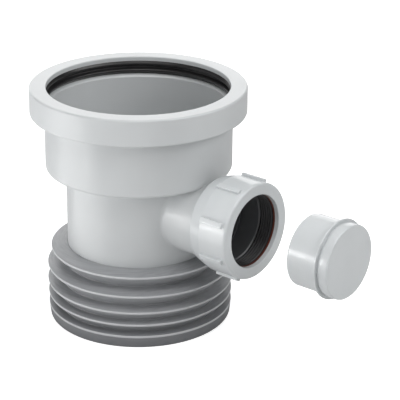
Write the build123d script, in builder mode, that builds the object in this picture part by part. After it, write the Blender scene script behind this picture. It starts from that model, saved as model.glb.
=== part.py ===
from build123d import *
import os

# Drain connector with boss. Millimetres, base centre at the origin, main axis up, side branch along X.

os.makedirs("parts", exist_ok=True)

# Overall heights above the base
overall_height = 150.7
socket_floor_height = 98.3
boss_height = 79.0

# Socket for a 110 mm soil pipe, with its flared seal housing
socket_bore_radius = 55.6
socket_wall = 2.4
socket_corner = 2.0
pipe_ledge = 2.6
ledge_chamfer = 2.2
lead_in = 1.8
seal_land = 4.0
housing_depth = 8.7
housing_wall = 2.4
housing_flare = 5.2
housing_floor_wall = 1.6

# Retaining ring and the bead that it snaps over
ring_depth = 16.6
ring_plate = 2.8
ring_wall = 2.85
ring_clearance = 0.2
ring_top_round = 1.2
ring_foot_round = 0.9
ring_foot_lead = 0.6
mouth_clearance = 0.9
mouth_round = 0.7
snap_rise = 2.4
snap_reach = 0.6
snap_lead = 0.3
snap_land = 0.7
snap_back = 1.0

# Lip seal under the ring
lip_clearance = 0.1
lip_rise = 1.9
lip_width = 1.2
recess_depth = 2.4
recess_taper = 0.9
recess_width = 1.5
bead_taper = 0.6
bead_lean = 0.5
bead_rise = 0.9
bead_top = 1.1
lip_round = 0.45
seal_foot_clearance = 0.2

# Neck and lower spigot
neck_radius = 45.5
neck_wall = 2.5
spigot_end = 3.0

# Side branch for a 43 mm waste pipe
branch_pipe_bore = 22.0
stop_step = 2.0
branch_wall = 3.6
branch_drop = 1.5
branch_fillet = 2.5
pipe_stop = 64.5
pipe_depth = 14.0
collar_wall = 2.4
collar_run = 2.0
spigot_wall = 3.5
thread_run = 11.0
thread_flare = 1.5
spigot_chamfer = 0.8
bore_chamfer = 0.6

# Branch seal and slip ring; each share is a part of the pitch from one seal rib to the next
branch_seal_length = 10.0
branch_seal_fit = 0.45
seal_rib_clearance = 0.1
seal_rib_depth = 0.7
seal_rib_count = 5
seal_groove_share = 0.30
seal_rise_share = 0.12
seal_crest_share = 0.30
seal_fall_share = 0.20
seal_end_chamfer = 0.6
seal_gap = 0.2
slip_thickness = 1.2
slip_fit = 0.25
slip_clearance = 0.4

# Compression nut
nut_clearance = 0.4
nut_wall = 3.85
nut_back_wall = 1.2
nut_length = 28.6
nut_lip = 3.0
nut_shoulder_run = 9.0
nut_edge = 1.3
nut_back_edge = 0.4
opening_clearance = 0.6
opening_chamfer = 0.5
rib_count = 8
rib_reach = 1.8
rib_width = 3.2
rib_root = 0.8
rib_back_inset = 9.2
rib_front_inset = 3.0

# Blanking plug, drawn out along the branch
plug_clearance = 0.3
plug_wall = 2.2
plug_skirt = 20.1
plug_standoff = 59.4
plug_flange = 1.4
plug_flange_reach = 2.3
plug_groove = 1.2
plug_groove_depth = 0.1
plug_head = 5.9
plug_head_reach = 0.6
plug_web = 3.0
plug_edge = 0.7
plug_inner_chamfer = 1.5

# Finned drain seal: height of each fin's top edge, and how far it reaches past the neck
fin_heights = [46.35, 34.85, 24.1, 15.85, 8.05]
fin_reaches = [10.45, 12.9, 13.1, 12.9, 12.8]
fin_rim = 1.3
fin_rim_draft = 0.15
fin_rake = 0.19
fin_under = 1.0
sleeve_rise = 1.75
sleeve_lip = 1.0
foot_reach = 11.9
foot_lip = 2.3

# Sizes that follow from those above
socket_radius = socket_bore_radius + socket_wall
lead_in_radius = socket_bore_radius + lead_in
housing_inner = lead_in_radius + seal_land
housing_radius = housing_inner + housing_wall
skirt_inner = housing_radius + ring_clearance
ring_radius = skirt_inner + ring_wall
mouth_radius = socket_bore_radius + mouth_clearance
ring_bottom = overall_height - ring_depth
plate_under = overall_height - ring_plate
housing_floor = plate_under - housing_depth
flare_top = housing_floor - housing_floor_wall
flare_bottom = flare_top - housing_flare
snap_low = housing_floor + snap_rise
lip_radius = socket_bore_radius - lip_clearance
neck_bore = neck_radius - neck_wall
branch_bore = branch_pipe_bore - stop_step
branch_radius = branch_bore + branch_wall
branch_mouth = pipe_stop + pipe_depth
collar_start = pipe_stop - collar_run
collar_radius = branch_pipe_bore + collar_wall
thread_radius = branch_pipe_bore + spigot_wall
thread_start = branch_mouth - thread_run
seal_front = branch_mouth + branch_seal_length
slip_back = seal_front + seal_gap
nut_seat = slip_back + slip_thickness
nut_face = nut_seat + nut_lip
nut_back = nut_face - nut_length
nut_cavity = thread_radius + nut_clearance
nut_radius = nut_cavity + nut_wall
nut_opening = branch_pipe_bore + opening_clearance
plug_radius = branch_pipe_bore - plug_clearance
plug_bore = plug_radius - plug_wall
flange_back = nut_face + plug_standoff
flange_front = flange_back + plug_flange
head_back = flange_front + plug_groove
plug_face = head_back + plug_head
plug_end = flange_back - plug_skirt
boss_axis = Axis((0, 0, boss_height), (1, 0, 0))


def boss_point(along, radius):
    return (along, boss_height + radius)


def boss_plane(along, drop=0):
    return Plane(origin=(along, 0, boss_height - drop), x_dir=(0, 1, 0), z_dir=(1, 0, 0))


# Moulded body: neck and branch first, so that the saddle between them can be rounded. The branch runs a
# little below the nut's axis, so that its floor lies level with the floor of a waste pipe.
with BuildPart() as connector_body:
    with BuildSketch(Plane.XY.offset(spigot_end)):
        Circle(neck_radius)
    extrude(amount=plate_under - spigot_end)
    with BuildSketch(boss_plane(0, branch_drop)):
        Circle(branch_radius)
    extrude(amount=thread_start)
    plain_edges = (GeomType.CIRCLE, GeomType.LINE)
    saddle = [edge for edge in connector_body.edges() if edge.geom_type not in plain_edges]
    fillet(saddle, branch_fillet)
    # Socket, its flared seal housing and the snap bead
    with BuildSketch(Plane.XZ):
        with BuildLine():
            corner_start = (socket_radius - socket_corner, socket_floor_height)
            corner_end = (socket_radius, socket_floor_height + socket_corner)
            Line((0, socket_floor_height), corner_start)
            RadiusArc(corner_start, corner_end, -socket_corner)
            Polyline(
                corner_end,
                (socket_radius, flare_bottom),
                (housing_radius, flare_top),
                (housing_radius, snap_low),
                (housing_radius + snap_reach, snap_low + snap_lead),
                (housing_radius + snap_reach, snap_low + snap_lead + snap_land),
                (housing_radius, snap_low + snap_lead + snap_land + snap_back),
                (housing_radius, plate_under),
                (0, plate_under),
                (0, socket_floor_height),
            )
        make_face()
    revolve(axis=Axis.Z)
    # Collar and threaded end of the branch
    with BuildSketch(Plane.XZ):
        with BuildLine():
            Polyline(
                boss_point(collar_start, 0),
                boss_point(collar_start, collar_radius),
                boss_point(thread_start - thread_flare, collar_radius),
                boss_point(thread_start, thread_radius),
                boss_point(branch_mouth - spigot_chamfer, thread_radius),
                boss_point(branch_mouth, thread_radius - spigot_chamfer),
                boss_point(branch_mouth, 0),
                close=True,
            )
        make_face()
    revolve(axis=boss_axis)
    # Passage from the seal housing down through the neck
    with BuildSketch(Plane.XZ):
        with BuildLine():
            Polyline(
                (0, spigot_end),
                (neck_bore, spigot_end),
                (neck_bore, socket_floor_height + pipe_ledge - ledge_chamfer),
                (neck_bore + ledge_chamfer, socket_floor_height + pipe_ledge),
                (socket_bore_radius, socket_floor_height + pipe_ledge),
                (socket_bore_radius, housing_floor - lead_in),
                (lead_in_radius, housing_floor),
                (housing_inner, housing_floor),
                (housing_inner, plate_under),
                (0, plate_under),
                close=True,
            )
        make_face()
    revolve(axis=Axis.Z, mode=Mode.SUBTRACT)
    # Branch passage, and the wider pipe bore that ends at its stop
    with BuildSketch(boss_plane(0, branch_drop)):
        Circle(branch_bore)
    extrude(amount=pipe_stop, mode=Mode.SUBTRACT)
    with BuildSketch(Plane.XZ):
        with BuildLine():
            Polyline(
                boss_point(pipe_stop, 0),
                boss_point(pipe_stop, branch_pipe_bore),
                boss_point(branch_mouth - bore_chamfer, branch_pipe_bore),
                boss_point(branch_mouth, branch_pipe_bore + bore_chamfer),
                boss_point(branch_mouth, 0),
                close=True,
            )
        make_face()
    revolve(axis=boss_axis, mode=Mode.SUBTRACT)
connector_body.part.label = "connector_body"
export_step(connector_body.part, "parts/connector_body.step")

# Snap-on ring over the seal housing
with BuildPart() as socket_ring:
    with BuildSketch(Plane.XZ):
        with BuildLine():
            Polyline(
                (mouth_radius, plate_under),
                (mouth_radius, overall_height),
                (ring_radius, overall_height),
                (ring_radius, ring_bottom),
                (skirt_inner + ring_foot_lead, ring_bottom),
                (skirt_inner, ring_bottom + ring_foot_lead),
                (skirt_inner, snap_low - ring_clearance),
                (skirt_inner + snap_reach, snap_low + snap_lead - ring_clearance),
                (skirt_inner + snap_reach, snap_low + snap_lead + snap_land + ring_clearance),
                (skirt_inner, snap_low + snap_lead + snap_land + snap_back + ring_clearance),
                (skirt_inner, plate_under),
                close=True,
            )
        make_face()
    revolve(axis=Axis.Z)
    rims = socket_ring.faces().sort_by(Axis.Z)[-1].edges().sort_by(SortBy.LENGTH)
    fillet(rims[-1], ring_top_round)
    fillet(rims[0], mouth_round)
    foot = socket_ring.faces().sort_by(Axis.Z)[0].edges().sort_by(SortBy.LENGTH)[-1]
    fillet(foot, ring_foot_round)
socket_ring.part.label = "socket_ring"
export_step(socket_ring.part, "parts/socket_ring.step")

# Black lip seal under the ring: lower lip, recess and upper bead
lip_top = housing_floor + lip_rise + lip_width
recess_low = lip_top + recess_taper
recess_high = recess_low + recess_width
bead_low = recess_high + bead_taper
with BuildPart() as socket_seal:
    with BuildSketch(Plane.XZ) as seal_section:
        with BuildLine():
            Polyline(
                (housing_inner, housing_floor),
                (lead_in_radius + seal_foot_clearance, housing_floor),
                (lip_radius, housing_floor + lip_rise),
                (lip_radius, lip_top),
                (lip_radius + recess_depth, recess_low),
                (lip_radius + recess_depth, recess_high),
                (lip_radius + bead_lean, bead_low),
                (lip_radius, bead_low + bead_rise),
                (lip_radius + bead_top, plate_under),
                (housing_inner, plate_under),
                close=True,
            )
        make_face()
        lips = [corner for corner in seal_section.vertices() if corner.X < lip_radius + bead_top]
        fillet(lips, lip_round)
    revolve(axis=Axis.Z)
socket_seal.part.label = "socket_seal"
export_step(socket_seal.part, "parts/socket_seal.step")

# Finned sleeve: each fin has a narrow rim, a raked top and an undercut that runs in at about 45 degrees
sleeve_top = fin_heights[0] + sleeve_rise
fin_outline = [(neck_radius, sleeve_top), (neck_radius + sleeve_lip, sleeve_top)]
for index, height in enumerate(fin_heights):
    radius = neck_radius + fin_reaches[index]
    fin_outline.append((radius, height))
    if index + 1 < len(fin_heights):
        rim_radius = radius - fin_rim_draft
        rim_low = height - fin_rim
        next_radius = neck_radius + fin_reaches[index + 1]
        drop = rim_low - fin_heights[index + 1] + fin_rake * (rim_radius - next_radius)
        inset = drop / (fin_under + fin_rake)
        fin_outline.append((rim_radius, rim_low))
        fin_outline.append((rim_radius - inset, rim_low - fin_under * inset))
fin_outline.append((neck_radius + foot_reach, 0))
fin_outline.append((neck_radius - foot_lip, 0))
fin_outline.append((neck_radius - foot_lip, spigot_end))
fin_outline.append((neck_radius, spigot_end))
with BuildPart() as drain_seal:
    with BuildSketch(Plane.XZ):
        with BuildLine():
            Polyline(*fin_outline, close=True)
        make_face()
    revolve(axis=Axis.Z)
drain_seal.part.label = "drain_seal"
export_step(drain_seal.part, "parts/drain_seal.step")

# Compression nut with its ribs
with BuildPart() as boss_nut:
    with BuildSketch(Plane.XZ):
        with BuildLine():
            Polyline(
                boss_point(nut_back, nut_cavity),
                boss_point(nut_back, nut_cavity + nut_back_wall - nut_back_edge),
                boss_point(nut_back + nut_back_edge, nut_cavity + nut_back_wall),
                boss_point(nut_back + nut_shoulder_run, nut_radius),
                boss_point(nut_face, nut_radius),
                boss_point(nut_face, nut_opening + opening_chamfer),
                boss_point(nut_face - opening_chamfer, nut_opening),
                boss_point(nut_seat, nut_opening),
                boss_point(nut_seat, nut_cavity),
                close=True,
            )
        make_face()
    revolve(axis=boss_axis)
    front_rim = boss_nut.faces().sort_by(Axis.X)[-1].edges().sort_by(SortBy.LENGTH)[-1]
    fillet(front_rim, nut_edge)
    rib_depth = rib_root + rib_reach
    rib_middle = nut_radius + rib_reach - rib_depth / 2
    with BuildSketch(boss_plane(nut_back + rib_back_inset)):
        with PolarLocations(rib_middle, rib_count, start_angle=180 / rib_count):
            Rectangle(rib_depth, rib_width)
    extrude(amount=nut_length - rib_back_inset - rib_front_inset)
boss_nut.part.label = "boss_nut"
export_step(boss_nut.part, "parts/boss_nut.step")

# Thin washer between the nut and the branch seal
with BuildPart() as slip_ring:
    with BuildSketch(boss_plane(slip_back)):
        Circle(nut_cavity - slip_fit)
        Circle(branch_pipe_bore + slip_clearance, mode=Mode.SUBTRACT)
    extrude(amount=slip_thickness)
slip_ring.part.label = "slip_ring"
export_step(slip_ring.part, "parts/slip_ring.step")

# Ribbed seal at the branch's mouth
seal_rib = branch_pipe_bore - seal_rib_clearance
seal_groove = seal_rib + seal_rib_depth
seal_outside = nut_cavity - branch_seal_fit
rib_pitch = (branch_seal_length - 2 * seal_end_chamfer) / seal_rib_count
seal_outline = [
    boss_point(branch_mouth, seal_outside),
    boss_point(branch_mouth, seal_groove + seal_end_chamfer),
    boss_point(branch_mouth + seal_end_chamfer, seal_groove),
]
for index in range(seal_rib_count):
    rib_foot = branch_mouth + seal_end_chamfer + rib_pitch * (index + seal_groove_share)
    crest_start = rib_foot + rib_pitch * seal_rise_share
    crest_end = crest_start + rib_pitch * seal_crest_share
    seal_outline.append(boss_point(rib_foot, seal_groove))
    seal_outline.append(boss_point(crest_start, seal_rib))
    seal_outline.append(boss_point(crest_end, seal_rib))
    seal_outline.append(boss_point(crest_end + rib_pitch * seal_fall_share, seal_groove))
seal_outline.append(boss_point(seal_front, seal_groove))
seal_outline.append(boss_point(seal_front, seal_outside))
with BuildPart() as boss_seal:
    with BuildSketch(Plane.XZ):
        with BuildLine():
            Polyline(*seal_outline, close=True)
        make_face()
    revolve(axis=boss_axis)
boss_seal.part.label = "boss_seal"
export_step(boss_seal.part, "parts/boss_seal.step")

# Hollow blanking plug: skirt, flange, groove and head
with BuildPart() as blank_plug:
    with BuildSketch(Plane.XZ):
        with BuildLine():
            Polyline(
                boss_point(plug_end, plug_bore),
                boss_point(plug_end, plug_radius - plug_edge),
                boss_point(plug_end + plug_edge, plug_radius),
                boss_point(flange_back, plug_radius),
                boss_point(flange_back, plug_radius + plug_flange_reach),
                boss_point(flange_front, plug_radius + plug_flange_reach),
                boss_point(flange_front, plug_radius - plug_groove_depth),
                boss_point(head_back, plug_radius - plug_groove_depth),
                boss_point(head_back, plug_radius + plug_head_reach),
                boss_point(plug_face - plug_edge, plug_radius + plug_head_reach),
                boss_point(plug_face, plug_radius + plug_head_reach - plug_edge),
                boss_point(plug_face, 0),
                boss_point(plug_face - plug_web, 0),
                boss_point(plug_face - plug_web, plug_bore - plug_inner_chamfer),
                boss_point(plug_face - plug_web - plug_inner_chamfer, plug_bore),
                close=True,
            )
        make_face()
    revolve(axis=boss_axis)
blank_plug.part.label = "blank_plug"
export_step(blank_plug.part, "parts/blank_plug.step")
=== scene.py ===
import bpy
import bmesh
import math
from mathutils import Matrix, Vector


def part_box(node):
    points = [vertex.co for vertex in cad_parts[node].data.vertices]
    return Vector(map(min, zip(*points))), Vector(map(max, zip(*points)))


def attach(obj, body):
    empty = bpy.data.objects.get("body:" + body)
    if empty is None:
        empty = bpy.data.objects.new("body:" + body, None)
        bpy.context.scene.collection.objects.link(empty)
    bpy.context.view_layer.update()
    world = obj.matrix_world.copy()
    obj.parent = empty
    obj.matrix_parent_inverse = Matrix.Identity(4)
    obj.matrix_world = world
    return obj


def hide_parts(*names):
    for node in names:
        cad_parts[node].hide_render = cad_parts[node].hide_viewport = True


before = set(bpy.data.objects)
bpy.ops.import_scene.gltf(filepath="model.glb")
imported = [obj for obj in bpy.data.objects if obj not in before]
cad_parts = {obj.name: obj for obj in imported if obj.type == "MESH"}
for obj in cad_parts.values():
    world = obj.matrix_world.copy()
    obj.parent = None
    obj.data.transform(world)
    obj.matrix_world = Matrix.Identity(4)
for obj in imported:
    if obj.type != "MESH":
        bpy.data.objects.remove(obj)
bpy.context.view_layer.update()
mm = 0.001
scene = bpy.context.scene
scene.view_settings.view_transform = "Standard"
scene.view_settings.look = "None"
print("frame loaded:", len(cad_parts), "nodes")

# camera at the photograph's angle
cameraSettings = {
    "place": (0.6375, -0.7006, 0.4638),
    "heading": 40.0,
    "pitch": 22.36,
    "roll": 0.34,
    "lens": 146.6,
    "sensor": 36.0,
    "clipEnd": 20.0,
}


def makeCamera(settings):
    data = bpy.data.cameras.new("photoCamera")
    data.lens = settings["lens"]
    data.sensor_width = settings["sensor"]
    data.clip_end = settings["clipEnd"]
    cameraObject = bpy.data.objects.new("photoCamera", data)
    scene.collection.objects.link(cameraObject)
    heading = Matrix.Rotation(math.radians(settings["heading"]), 4, "Z")
    tilt = Matrix.Rotation(math.radians(90.0 - settings["pitch"]), 4, "X")
    roll = Matrix.Rotation(math.radians(settings["roll"]), 4, "Z")
    place = Matrix.Translation(settings["place"])
    cameraObject.matrix_world = place @ heading @ tilt @ roll
    scene.camera = cameraObject


makeCamera(cameraSettings)
print("camera set")

# pale table and soft studio light
floorSettings = {"size": 14.0, "shade": 0.65, "roughness": 0.9, "glow": 0.75}
lampSettings = [
    {"name": "leftPanel", "angle": 222.0, "rise": 9.0, "distance": 1.2,
     "size": (1.2, 0.62), "power": 2.5},
    {"name": "leftStrip", "angle": 240.0, "rise": 3.0, "distance": 1.0,
     "size": (0.22, 0.2), "power": 1.9},
    {"name": "topPanel", "angle": 290.0, "rise": 80.0, "distance": 1.3,
     "size": (1.1, 1.1), "power": 10.6},
    {"name": "topFront", "angle": 290.0, "rise": 55.0, "distance": 1.2,
     "size": (0.9, 0.9), "power": 2.0},
    {"name": "backPanel", "angle": 138.0, "rise": 12.0, "distance": 1.2,
     "size": (1.3, 0.7), "power": 5.3},
    {"name": "backHigh", "angle": 145.0, "rise": 42.0, "distance": 1.2,
     "size": (0.9, 0.9), "power": 2.1},
    {"name": "rightPanel", "angle": 15.0, "rise": 35.0, "distance": 1.2,
     "size": (1.2, 0.6), "power": 7.2},
    {"name": "frontPanel", "angle": 308.0, "rise": 14.0, "distance": 1.2,
     "size": (0.9, 0.5), "power": 1.8},
    {"name": "cardLeft", "angle": 230.0, "rise": 0.0, "distance": 0.4,
     "size": (0.46, 0.26), "power": 0.85},
    {"name": "cardStrip", "angle": 243.0, "rise": 0.0, "distance": 0.5,
     "size": (0.3, 0.12), "power": 0.5},
    {"name": "cardRight", "angle": 302.0, "rise": 0.0, "distance": 0.38,
     "size": (0.36, 0.3), "power": 0.2},
]
roomSettings = {"shade": 0.85, "aim": (0.02, 0.0, 0.08), "cardHeight": 0.004}


def greyOf(shade):
    return (shade, shade, shade, 1)


# the table and the room are pale to the eye and cast no light
def glowToEye(tree, strength):
    sight = tree.nodes.new("ShaderNodeLightPath")
    tree.links.new(sight.outputs["Is Camera Ray"], strength)


def makeFloor(settings):
    mesh = bpy.data.meshes.new("studioFloor")
    sheet = bmesh.new()
    bmesh.ops.create_grid(sheet, x_segments=1, y_segments=1, size=settings["size"] / 2)
    sheet.to_mesh(mesh)
    sheet.free()
    floor = bpy.data.objects.new("studioFloor", mesh)
    scene.collection.objects.link(floor)
    material = bpy.data.materials.new("paleFloor")
    material.use_nodes = True
    shader = material.node_tree.nodes["Principled BSDF"]
    shader.inputs["Base Color"].default_value = greyOf(settings["shade"])
    shader.inputs["Roughness"].default_value = settings["roughness"]
    shader.inputs["Specular IOR Level"].default_value = 0.0
    shader.inputs["Emission Color"].default_value = greyOf(settings["glow"])
    glowToEye(material.node_tree, shader.inputs["Emission Strength"])
    mesh.materials.append(material)


def makeLamp(settings, room):
    data = bpy.data.lights.new(settings["name"], "AREA")
    data.shape = "RECTANGLE"
    data.size, data.size_y = settings["size"]
    data.energy = settings["power"]
    lamp = bpy.data.objects.new(settings["name"], data)
    scene.collection.objects.link(lamp)
    angle, rise = math.radians(settings["angle"]), math.radians(settings["rise"])
    level = math.cos(rise)
    direction = Vector((math.cos(angle) * level, math.sin(angle) * level, math.sin(rise)))
    place = Vector(room["aim"]) + direction * settings["distance"]
    if settings["rise"] == 0.0:  # a card that lies on the table and shines up
        place.z = room["cardHeight"]
        lamp.rotation_euler = (math.pi, 0, angle)
    else:
        lamp.rotation_euler = direction.to_track_quat("Z", "Y").to_euler()
    lamp.location = place
    lamp.visible_camera = False


def makeRoom(settings):
    world = bpy.data.worlds.new("studioRoom")
    world.use_nodes = True
    background = world.node_tree.nodes["Background"]
    background.inputs["Color"].default_value = greyOf(settings["shade"])
    glowToEye(world.node_tree, background.inputs["Strength"])
    scene.world = world


makeFloor(floorSettings)
for lampItem in lampSettings:
    makeLamp(lampItem, roomSettings)
makeRoom(roomSettings)
print("floor and", len(lampSettings), "lamps set")

# the two axes that the pieces are turned about, for the finishes and for the shapes
bossHeight = sum(corner[2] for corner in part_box("blank_plug")) / 2 / mm
axes = {
    "main": {
        "middle": Vector((0, 0, 0)), "direction": Vector((0, 0, 1)),
        "shift": (0.0, 0.0, 0.0), "turn": (0.0, 0.0, 0.0),
    },
    "branch": {
        "middle": Vector((0, 0, bossHeight * mm)), "direction": Vector((1, 0, 0)),
        "shift": (bossHeight * mm, 0.0, 0.0), "turn": (0.0, -math.pi / 2, 0.0),
    },
}

# node helpers for the finishes
noiseRange = (0.3, 0.7)


def startFinish(name):
    material = bpy.data.materials.new(name)
    material.use_nodes = True
    tree = material.node_tree
    return material, tree, tree.nodes["Principled BSDF"]


def addNode(tree, kind, **values):
    node = tree.nodes.new(kind)
    for key, value in values.items():
        setattr(node, key, value)
    return node


def noiseOf(tree, vector, scale, detail, roughness=0.5):
    noise = addNode(tree, "ShaderNodeTexNoise")
    noise.inputs["Scale"].default_value = scale
    noise.inputs["Detail"].default_value = detail
    noise.inputs["Roughness"].default_value = roughness
    tree.links.new(vector, noise.inputs["Vector"])
    return noise.outputs["Fac"]


def spread(tree, value, target=(0.0, 1.0), source=noiseRange):
    ranged = addNode(tree, "ShaderNodeMapRange")
    ranged.inputs["From Min"].default_value, ranged.inputs["From Max"].default_value = source
    ranged.inputs["To Min"].default_value, ranged.inputs["To Max"].default_value = target
    tree.links.new(value, ranged.inputs["Value"])
    return ranged.outputs["Result"]


def joinValues(tree, operation, first, second):
    joined = addNode(tree, "ShaderNodeMath", operation=operation)
    tree.links.new(first, joined.inputs[0])
    tree.links.new(second, joined.inputs[1])
    return joined.outputs["Value"]


def mixColours(tree, factor, first, second):
    mixer = addNode(tree, "ShaderNodeMix", data_type="RGBA")
    tree.links.new(factor, mixer.inputs["Factor"])
    for socket, colour in ((mixer.inputs["A"], first), (mixer.inputs["B"], second)):
        if isinstance(colour, tuple):
            socket.default_value = (*colour, 1)
        else:
            tree.links.new(colour, socket)
    return mixer.outputs["Result"]


def addBump(tree, shader, height, distance):
    bump = addNode(tree, "ShaderNodeBump")
    bump.inputs["Strength"].default_value = 1.0
    bump.inputs["Distance"].default_value = distance
    tree.links.new(height, bump.inputs["Height"])
    tree.links.new(bump.outputs["Normal"], shader.inputs["Normal"])


# a place seen from an axis: how far along it, the vector across it and the distance from it
def aboutAxis(tree, place, axis):
    centred = addNode(tree, "ShaderNodeMapping")
    centred.inputs["Location"].default_value = axis["shift"]
    centred.inputs["Rotation"].default_value = axis["turn"]
    tree.links.new(place, centred.inputs["Vector"])
    parts = addNode(tree, "ShaderNodeSeparateXYZ")
    tree.links.new(centred.outputs["Vector"], parts.inputs["Vector"])
    across = addNode(tree, "ShaderNodeCombineXYZ")
    tree.links.new(parts.outputs["X"], across.inputs["X"])
    tree.links.new(parts.outputs["Y"], across.inputs["Y"])
    reach = addNode(tree, "ShaderNodeVectorMath", operation="LENGTH")
    tree.links.new(across.outputs["Vector"], reach.inputs[0])
    return {
        "along": parts.outputs["Z"],
        "across": across.outputs["Vector"],
        "reach": reach.outputs["Value"],
    }


# 1 inside the branch and 0 elsewhere, for its passage and for the wider bore at its mouth: the
# mask of the painted shade inside the branch
def shadeInsideBranch(tree, place, settings):
    about = aboutAxis(tree, place, axes["branch"])
    regions = []
    for key in ("passage", "mouth"):
        reachRange = tuple(value * mm for value in settings[key + "Reach"])
        startRange = tuple(value * mm for value in settings[key + "Start"])
        within = spread(tree, about["reach"], (1.0, 0.0), reachRange)
        beyond = spread(tree, about["along"], (0.0, 1.0), startRange)
        regions.append(joinValues(tree, "MULTIPLY", within, beyond))
    return joinValues(tree, "MAXIMUM", *regions)


# moulded plastic: slow colour drift, handling smudges in the gloss and a faint sink of the skin
plasticNoise = {
    "driftDetail": 2.0,
    "smudgeDetail": 4.0,
    "smudgeRoughness": 0.65,
    "smudgeRange": (0.1, 0.9),
    "sinkDetail": 1.0,
}


def mouldedPlastic(settings):
    material, tree, shader = startFinish(settings["name"])
    place = addNode(tree, "ShaderNodeTexCoord").outputs["Object"]
    drift = noiseOf(tree, place, settings["driftScale"], plasticNoise["driftDetail"])
    smudge = noiseOf(tree, place, settings["smudgeScale"], plasticNoise["smudgeDetail"],
                     plasticNoise["smudgeRoughness"])
    sink = noiseOf(tree, place, settings["sinkScale"], plasticNoise["sinkDetail"])
    colour = mixColours(tree, spread(tree, drift), settings["dark"], settings["light"])
    if "bore" in settings:  # painted shade: the branch is painted darker inside, where little light reaches
        inside = shadeInsideBranch(tree, place, settings)
        colour = mixColours(tree, inside, colour, settings["bore"])
    tree.links.new(colour, shader.inputs["Base Color"])
    gloss = spread(tree, smudge, settings["roughness"], plasticNoise["smudgeRange"])
    tree.links.new(gloss, shader.inputs["Roughness"])
    addBump(tree, shader, sink, settings["sinkDepth"] * mm)
    return material


# rubber: fine streaks that run round the axis, as a turned mould leaves them, and a matt bloom
rubberNoise = {"streakDetail": 2.0, "streakRoughness": 0.6, "bloomDetail": 3.0}


def streaksRound(tree, about, settings):
    heading = addNode(tree, "ShaderNodeVectorMath", operation="NORMALIZE")
    tree.links.new(about["across"], heading.inputs[0])
    slow = addNode(tree, "ShaderNodeVectorMath", operation="SCALE")
    slow.inputs["Scale"].default_value = settings["streakLength"] * mm
    tree.links.new(heading.outputs["Vector"], slow.inputs[0])
    around = addNode(tree, "ShaderNodeCombineXYZ")
    tree.links.new(about["reach"], around.inputs["X"])
    tree.links.new(about["along"], around.inputs["Z"])
    streakPlace = addNode(tree, "ShaderNodeVectorMath", operation="ADD")
    tree.links.new(around.outputs["Vector"], streakPlace.inputs[0])
    tree.links.new(slow.outputs["Vector"], streakPlace.inputs[1])
    return noiseOf(tree, streakPlace.outputs["Vector"], settings["streakScale"],
                   rubberNoise["streakDetail"], rubberNoise["streakRoughness"])


def turnedRubber(settings):
    material, tree, shader = startFinish(settings["name"])
    place = addNode(tree, "ShaderNodeTexCoord").outputs["Object"]
    about = aboutAxis(tree, place, axes[settings["axis"]])
    streaks = streaksRound(tree, about, settings)
    bloom = noiseOf(tree, place, settings["bloomScale"], rubberNoise["bloomDetail"])
    colour = mixColours(tree, spread(tree, streaks), settings["dark"], settings["light"])
    if "foot" in settings:  # painted shade: the sleeve is painted darker towards the table, where less light reaches
        rise = spread(tree, about["along"], (0.0, 1.0), (0.0, settings["footRise"] * mm))
        colour = mixColours(tree, rise, settings["foot"], colour)
    if "rim" in settings:  # painted highlight: the rims of the fins are painted paler, where light catches them
        edge = addNode(tree, "ShaderNodeAttribute", attribute_name="rim")
        colour = mixColours(tree, edge.outputs["Fac"], colour, settings["rim"])
    tree.links.new(colour, shader.inputs["Base Color"])
    tree.links.new(spread(tree, bloom, settings["roughness"]), shader.inputs["Roughness"])
    addBump(tree, shader, streaks, settings["streakDepth"] * mm)
    return material


# a plastic's roughness range across about 0.27 came out speckled, so none crosses it
finishes = {
    "body": mouldedPlastic({
        "name": "bodyPlastic",
        "dark": (0.535, 0.552, 0.56), "light": (0.565, 0.583, 0.59), "driftScale": 28.0,
        "smudgeScale": 110.0, "roughness": (0.28, 0.36), "sinkScale": 45.0, "sinkDepth": 0.12,
        # painted shade inside the branch: the bore colour, and the reach and start of its mask
        "bore": (0.07, 0.072, 0.076),
        "passageReach": (21.6, 22.0), "passageStart": (46.0, 54.0),
        "mouthReach": (23.7, 24.3), "mouthStart": (62.2, 63.2),
    }),
    "fitting": mouldedPlastic({
        "name": "fittingPlastic",
        "dark": (0.565, 0.588, 0.598), "light": (0.6, 0.622, 0.632), "driftScale": 40.0,
        "smudgeScale": 140.0, "roughness": (0.2, 0.265), "sinkScale": 90.0, "sinkDepth": 0.06,
    }),
    "slip": mouldedPlastic({
        "name": "slipPlastic",
        "dark": (0.10, 0.026, 0.016), "light": (0.14, 0.04, 0.026), "driftScale": 120.0,
        "smudgeScale": 300.0, "roughness": (0.3, 0.4), "sinkScale": 150.0, "sinkDepth": 0.02,
    }),
    "fins": turnedRubber({
        "name": "finRubber", "axis": "main",
        # the rim colour is a painted highlight on the rims of the fins
        "dark": (0.29, 0.297, 0.31), "light": (0.37, 0.377, 0.39), "rim": (0.56, 0.567, 0.58),
        # painted shade: the foot colour darkens the sleeve towards the table
        "foot": (0.17, 0.175, 0.185), "footRise": 24.0,
        "streakLength": 8.0, "streakScale": 900.0, "streakDepth": 0.03,
        "bloomScale": 60.0, "roughness": (0.4, 0.5),
    }),
    "lips": turnedRubber({
        "name": "lipRubber", "axis": "main",
        "dark": (0.014, 0.014, 0.015), "light": (0.024, 0.023, 0.023),
        "streakLength": 6.0, "streakScale": 1200.0, "streakDepth": 0.015,
        "bloomScale": 90.0, "roughness": (0.28, 0.38),
    }),
    "branchRubber": turnedRubber({
        "name": "branchRubber", "axis": "branch",
        "dark": (0.012, 0.012, 0.013), "light": (0.022, 0.022, 0.023),
        "streakLength": 5.0, "streakScale": 1200.0, "streakDepth": 0.015,
        "bloomScale": 120.0, "roughness": (0.32, 0.42),
    }),
}
print("finishes made:", len(finishes))

# turned shapes: an outline of (along, radius, rounding) in millimetres, spun about one of the axes
shapeSettings = {
    "mergeDistance": 0.0005,
    "ringSlack": 0.004,
    "bevelSegments": 3,
    "crease": 38.0,
}


def placePoint(axis, along, radius):
    if axis == "main":
        return Vector((radius, 0, along)) * mm
    return Vector((along, 0, bossHeight + radius)) * mm


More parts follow.
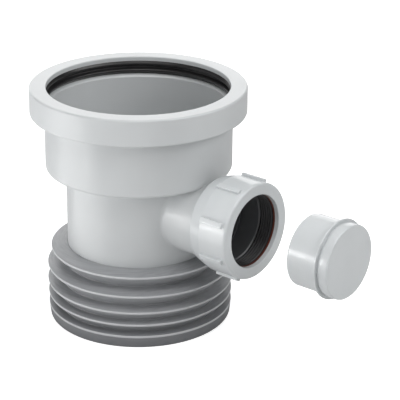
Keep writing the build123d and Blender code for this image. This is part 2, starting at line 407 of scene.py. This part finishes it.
def readPoint(axis, place):
    if axis == "main":
        return place.z / mm, math.hypot(place.x, place.y) / mm
    return place.x / mm, math.hypot(place.y, place.z - bossHeight * mm) / mm


def mergeClose(shape):
    distance = shapeSettings["mergeDistance"] * mm
    bmesh.ops.remove_doubles(shape, verts=shape.verts, dist=distance)


def spinOutline(axis, outline, steps, closed=True):
    shape = bmesh.new()
    places = [placePoint(axis, along, radius) for along, radius, rounding in outline]
    points = [shape.verts.new(place) for place in places]
    pairs = list(zip(points, points[1:]))
    if closed:
        pairs.append((points[-1], points[0]))
    edges = [shape.edges.new(pair) for pair in pairs]
    bmesh.ops.spin(shape, geom=points + edges, cent=axes[axis]["middle"],
                   axis=axes[axis]["direction"], angle=math.tau, steps=steps, use_merge=True)
    mergeClose(shape)
    bmesh.ops.recalc_face_normals(shape, faces=shape.faces)
    return shape


def onRing(axis, edge, along, radius):
    slack = shapeSettings["ringSlack"]
    for vert in edge.verts:
        vertAlong, vertRadius = readPoint(axis, vert.co)
        if abs(vertAlong - along) > slack or abs(vertRadius - radius) > slack:
            return False
    return True


def roundEdges(shape, edges, size):
    bmesh.ops.bevel(shape, geom=edges, offset=size * mm, offset_type="OFFSET",
                    segments=shapeSettings["bevelSegments"], profile=0.5, affect="EDGES",
                    clamp_overlap=True, material=-1)


def roundRings(shape, axis, outline):
    for size in sorted({rounding for along, radius, rounding in outline if rounding > 0}):
        rings = [(along, radius) for along, radius, rounding in outline if rounding == size]
        edges = [edge for edge in shape.edges if any(onRing(axis, edge, *ring) for ring in rings)]
        roundEdges(shape, edges, size)


def finishPiece(shape, name, finish, body, node=None, crease=shapeSettings["crease"]):
    bmesh.ops.recalc_face_normals(shape, faces=shape.faces)
    mesh = bpy.data.meshes.new(name)
    shape.to_mesh(mesh)
    shape.free()
    mesh.polygons.foreach_set("use_smooth", [True] * len(mesh.polygons))
    mesh.set_sharp_from_angle(angle=math.radians(crease))
    mesh.materials.append(finish)
    piece = bpy.data.objects.new(name, mesh)
    scene.collection.objects.link(piece)
    weighted = piece.modifiers.new("evenNormals", "WEIGHTED_NORMAL")
    weighted.keep_sharp = True
    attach(piece, body)
    if node:
        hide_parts(node)
    print(name, "made:", len(mesh.polygons), "faces")
    return piece


# finned drain seal
finSettings = {
    "steps": 192,
    "neckRadius": 45.5,
    "heights": [46.35, 34.85, 24.1, 15.85, 8.05],
    "radii": [55.95, 58.4, 58.6, 58.4, 58.3],
    "rim": 1.3,
    "rimDraft": 0.15,
    "rimSlack": 0.02,
    "rake": 0.19,
    "under": 1.0,
    "rimRound": 0.4,
    "valleyRound": 0.8,
    "sleeveTop": 48.1,
    "lipRadius": 46.5,
    "lipRound": 0.4,
    "footRadius": 57.4,
    "footRound": 0.7,
    "footBore": 43.2,
    "spigotEnd": 3.0,
}


def makeFinSeal(settings):
    neck, rim, rake, under = (settings[key] for key in ("neckRadius", "rim", "rake", "under"))
    heights, radii = settings["heights"], settings["radii"]
    outline = [
        (settings["sleeveTop"], neck, 0.0),
        (settings["sleeveTop"], settings["lipRadius"], settings["lipRound"]),
    ]
    for index, (height, radius) in enumerate(zip(heights, radii)):
        outline.append((height, radius, settings["rimRound"]))
        rimRadius = radius - settings["rimDraft"]
        outline.append((height - rim, rimRadius, settings["rimRound"]))
        if index + 1 == len(heights):
            break
        drop = height - rim - heights[index + 1] + rake * (rimRadius - radii[index + 1])
        inset = drop / (under + rake)
        outline.append((height - rim - under * inset, rimRadius - inset, settings["valleyRound"]))
    outline.append((0.0, settings["footRadius"], settings["footRound"]))
    outline.append((0.0, settings["footBore"], 0.0))
    outline.append((settings["spigotEnd"], settings["footBore"], 0.0))
    outline.append((settings["spigotEnd"], neck, 0.0))
    shape = spinOutline("main", outline, settings["steps"])
    roundRings(shape, "main", outline)
    piece = finishPiece(shape, "finSeal", finishes["fins"], "body", "drain_seal")
    paintRimHighlight(piece, settings)


# painted highlight: the rim attribute is 1 on the rims of the fins and 0 elsewhere
def paintRimHighlight(piece, settings):
    mesh = piece.data
    slack = settings["rimSlack"]
    layer = mesh.attributes.new("rim", "FLOAT", "POINT")
    for vert, item in zip(mesh.vertices, layer.data):
        along, radius = readPoint("main", vert.co)
        for height, rimRadius in zip(settings["heights"], settings["radii"]):
            inRim = height - settings["rim"] - slack < along < height + slack
            if inRim and radius > rimRadius - settings["rimRound"] - settings["rimDraft"]:
                item.value = 1.0


makeFinSeal(finSettings)

# lip seal under the socket ring
lipSettings = {
    "steps": 192,
    "outer": 61.4,
    "floor": 139.2,
    "foot": 57.6,
    "lip": 55.5,
    "lipRise": 1.9,
    "lipWidth": 1.2,
    "recess": 2.4,
    "recessLow": 4.0,
    "recessHigh": 5.5,
    "beadLow": 6.1,
    "beadLean": 0.5,
    "beadHigh": 7.0,
    "top": 8.7,
    "topLean": 1.1,
    "round": 0.45,
    "recessRound": 0.3,
    "crease": 50.0,
}


def makeLipSeal(settings):
    floor, lip, soft = settings["floor"], settings["lip"], settings["round"]
    recess = lip + settings["recess"]
    outline = [
        (floor, settings["outer"], 0.0),
        (floor, settings["foot"], 0.0),
        (floor + settings["lipRise"], lip, soft),
        (floor + settings["lipRise"] + settings["lipWidth"], lip, soft),
        (floor + settings["recessLow"], recess, settings["recessRound"]),
        (floor + settings["recessHigh"], recess, settings["recessRound"]),
        (floor + settings["beadLow"], lip + settings["beadLean"], settings["recessRound"]),
        (floor + settings["beadHigh"], lip, soft),
        (floor + settings["top"], lip + settings["topLean"], 0.0),
        (floor + settings["top"], settings["outer"], 0.0),
    ]
    shape = spinOutline("main", outline, settings["steps"])
    roundRings(shape, "main", outline)
    finishPiece(shape, "lipSeal", finishes["lips"], "body", "socket_seal",
                crease=settings["crease"])


makeLipSeal(lipSettings)

# ribbed seal in the branch mouth
branchSealSettings = {
    "steps": 144,
    "ribs": 5,
    "ribRadius": 21.9,
    "ribDepth": 0.7,
    "endChamfer": 0.6,
    "outer": 25.45,
    "ribShape": (0.22, 0.44, 0.70, 0.92),
    "round": 0.18,
    "crease": 55.0,
}


def makeBranchSeal(settings):
    low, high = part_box("boss_seal")
    back, front = low[0] / mm, high[0] / mm
    rib, groove = settings["ribRadius"], settings["ribRadius"] + settings["ribDepth"]
    chamfer, soft = settings["endChamfer"], settings["round"]
    pitch = (front - back - 2 * chamfer) / settings["ribs"]
    outline = [
        (back, settings["outer"], 0.0),
        (back, groove + chamfer, 0.0),
        (back + chamfer, groove, 0.0),
    ]
    for index in range(settings["ribs"]):
        start = back + chamfer + index * pitch
        for share, radius in zip(settings["ribShape"], (groove, rib, rib, groove)):
            outline.append((start + share * pitch, radius, soft))
    outline.append((front, groove, 0.0))
    outline.append((front, settings["outer"], 0.0))
    shape = spinOutline("branch", outline, settings["steps"])
    roundRings(shape, "branch", outline)
    finishPiece(shape, "branchSeal", finishes["branchRubber"], "body", "boss_seal",
                crease=settings["crease"])


makeBranchSeal(branchSealSettings)

# compression nut with ribs, bored out for its thread
nutSettings = {
    "sectorSteps": 21,
    "ribs": 8,
    "ribSteps": 3,
    "ribReach": 1.8,
    "ribBack": 9.2,
    "ribFront": 3.0,
    "ribRound": 0.42,
    "ribSkin": 0.3,
    "cornerAngle": 0.8,
    "radius": 29.75,
    "backRadius": 27.1,
    "shoulder": 9.0,
    "shoulderRound": 0.7,
    "backRound": 0.35,
    "frontRound": 1.3,
    "opening": 22.6,
    "openingRound": 0.5,
    "cavity": 25.9,
    "threadRoot": 26.7,
    "threadStart": 3.5,
    "threadEnd": 15.5,
    "threadRunOut": 0.8,
    "lip": 3.0,
}


def makeNut(settings):
    low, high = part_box("boss_nut")
    back, face = low[0] / mm, high[0] / mm
    ribBack, ribFront = back + settings["ribBack"], face - settings["ribFront"]
    radius, cavity, opening = settings["radius"], settings["cavity"], settings["opening"]
    threadStart, threadEnd = back + settings["threadStart"], back + settings["threadEnd"]
    outline = [
        (back, cavity, 0.0),
        (back, settings["backRadius"], settings["backRound"]),
        (back + settings["shoulder"], radius, settings["shoulderRound"]),
        (ribBack, radius, 0.0),
        (ribFront, radius, 0.0),
        (face, radius, settings["frontRound"]),
        (face, opening, settings["openingRound"]),
        (face - settings["lip"], opening, 0.0),
        (face - settings["lip"], cavity, 0.0),
        (threadEnd + settings["threadRunOut"], cavity, 0.0),
        (threadEnd, settings["threadRoot"], 0.0),
        (threadStart, settings["threadRoot"], 0.0),
        (threadStart - settings["threadRunOut"], cavity, 0.0),
    ]
    shape = spinOutline("branch", outline, settings["sectorSteps"] * settings["ribs"])
    growRibs(shape, settings, ribBack, ribFront)
    roundRings(shape, "branch", outline)
    # the bevels leave a few triangles of no area
    distance = shapeSettings["mergeDistance"] * mm
    bmesh.ops.dissolve_degenerate(shape, edges=shape.edges, dist=distance)
    finishPiece(shape, "nutShell", finishes["fitting"], "nut", "boss_nut")


# the ribs grow out of the nut's skin, a few steps in the middle of each sector
def growRibs(shape, settings, ribBack, ribFront):
    step = 360.0 / (settings["sectorSteps"] * settings["ribs"])
    firstStep = (settings["sectorSteps"] - settings["ribSteps"]) // 2
    ribFaces = []
    for face in shape.faces:
        middle = face.calc_center_median()
        along, radius = readPoint("branch", middle)
        onSkin = radius >= settings["radius"] - settings["ribSkin"]
        if not onSkin or not ribBack < along < ribFront:
            continue
        angle = math.degrees(math.atan2(middle.z - bossHeight * mm, middle.y)) - 90.0
        place = int(angle % 360.0 / step) % settings["sectorSteps"]
        if firstStep <= place < firstStep + settings["ribSteps"]:
            ribFaces.append(face)
    raised = bmesh.ops.extrude_face_region(shape, geom=ribFaces)["geom"]
    tops = [item for item in raised if isinstance(item, bmesh.types.BMVert)]
    topFaces = {item for item in raised if isinstance(item, bmesh.types.BMFace)}
    # the skin under the ribs would stay hidden inside them
    bmesh.ops.delete(shape, geom=[face for face in ribFaces if face.is_valid], context="FACES")
    grow = 1.0 + settings["ribReach"] / settings["radius"]
    fromAxis = Matrix.Translation(-axes["branch"]["middle"])
    bmesh.ops.scale(shape, vec=(1.0, grow, grow), space=fromAxis, verts=tops)
    bmesh.ops.recalc_face_normals(shape, faces=shape.faces)
    rims = [edge for edge in shape.edges if sum(face in topFaces for face in edge.link_faces) == 1]
    corners = {vert for edge in rims for vert in edge.verts}
    rims += [edge for edge in shape.edges if sum(vert in corners for vert in edge.verts) == 1
             and edge.calc_face_angle(0.0) > settings["cornerAngle"]]
    roundEdges(shape, rims, settings["ribRound"])


makeNut(nutSettings)

# helical thread on the branch spigot and inside the nut
threadSettings = {
    "lead": 3.0,
    "steps": 96,
    "threads": [
        {"name": "spigotThread", "body": "body", "finish": "body", "start": 69.0, "turns": 2.6,
         "root": 25.4, "crest": 25.8, "foot": 2.0, "top": 0.9},
        {"name": "nutThread", "body": "nut", "finish": "fitting", "start": 70.5, "turns": 2.7,
         "root": 26.8, "crest": 26.0, "foot": 1.9, "top": 0.7},
    ],
}


def makeThread(settings, item):
    shape = bmesh.new()
    start, foot, top, turns = (item[key] for key in ("start", "foot", "top", "turns"))
    section = [
        (start - foot / 2, item["root"]),
        (start - top / 2, item["crest"]),
        (start + top / 2, item["crest"]),
        (start + foot / 2, item["root"]),
    ]
    points = [shape.verts.new(placePoint("branch", along, radius)) for along, radius in section]
    face = shape.faces.new(points)
    steps = round(settings["steps"] * turns)
    advance = Vector((settings["lead"] * turns / steps, 0, 0)) * mm
    bmesh.ops.spin(shape, geom=[face], cent=axes["branch"]["middle"],
                   axis=axes["branch"]["direction"], dvec=advance, angle=math.tau * turns,
                   steps=steps)
    mergeClose(shape)
    finishPiece(shape, item["name"], finishes[item["finish"]], item["body"])


for threadItem in threadSettings["threads"]:
    makeThread(threadSettings, threadItem)

# blanking plug
plugSettings = {
    "steps": 160,
    "radius": 21.7,
    "wall": 2.2,
    "skirt": 20.1,
    "flange": 1.4,
    "flangeRadius": 24.0,
    "groove": 1.2,
    "grooveRadius": 21.6,
    "headRadius": 22.3,
    "web": 3.0,
    "skirtRound": 0.7,
    "flangeRound": 0.3,
    "headRound": 0.75,
    "innerRound": 1.2,
}


def makePlug(settings):
    low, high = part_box("blank_plug")
    end, face = low[0] / mm, high[0] / mm
    radius, bore = settings["radius"], settings["radius"] - settings["wall"]
    flangeBack = end + settings["skirt"]
    flangeFront = flangeBack + settings["flange"]
    headBack = flangeFront + settings["groove"]
    outline = [
        (face, 0.0, 0.0),
        (face, settings["headRadius"], settings["headRound"]),
        (headBack, settings["headRadius"], settings["flangeRound"]),
        (headBack, settings["grooveRadius"], 0.0),
        (flangeFront, settings["grooveRadius"], 0.0),
        (flangeFront, settings["flangeRadius"], settings["flangeRound"]),
        (flangeBack, settings["flangeRadius"], settings["flangeRound"]),
        (flangeBack, radius, 0.0),
        (end, radius, settings["skirtRound"]),
        (end, bore, settings["flangeRound"]),
        (face - settings["web"], bore, settings["innerRound"]),
        (face - settings["web"], 0.0, 0.0),
    ]
    shape = spinOutline("branch", outline, settings["steps"], closed=False)
    roundRings(shape, "branch", outline)
    finishPiece(shape, "plugShell", finishes["fitting"], "plug", "blank_plug")


makePlug(plugSettings)

# finishes on the carried-over solids
carriedFinishes = {"connector_body": "body", "socket_ring": "body", "slip_ring": "slip"}
for nodeName, finishName in carriedFinishes.items():
    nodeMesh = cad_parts[nodeName].data
    nodeMesh.materials.clear()
    nodeMesh.materials.append(finishes[finishName])
print("finishes set on", len(carriedFinishes), "solids")
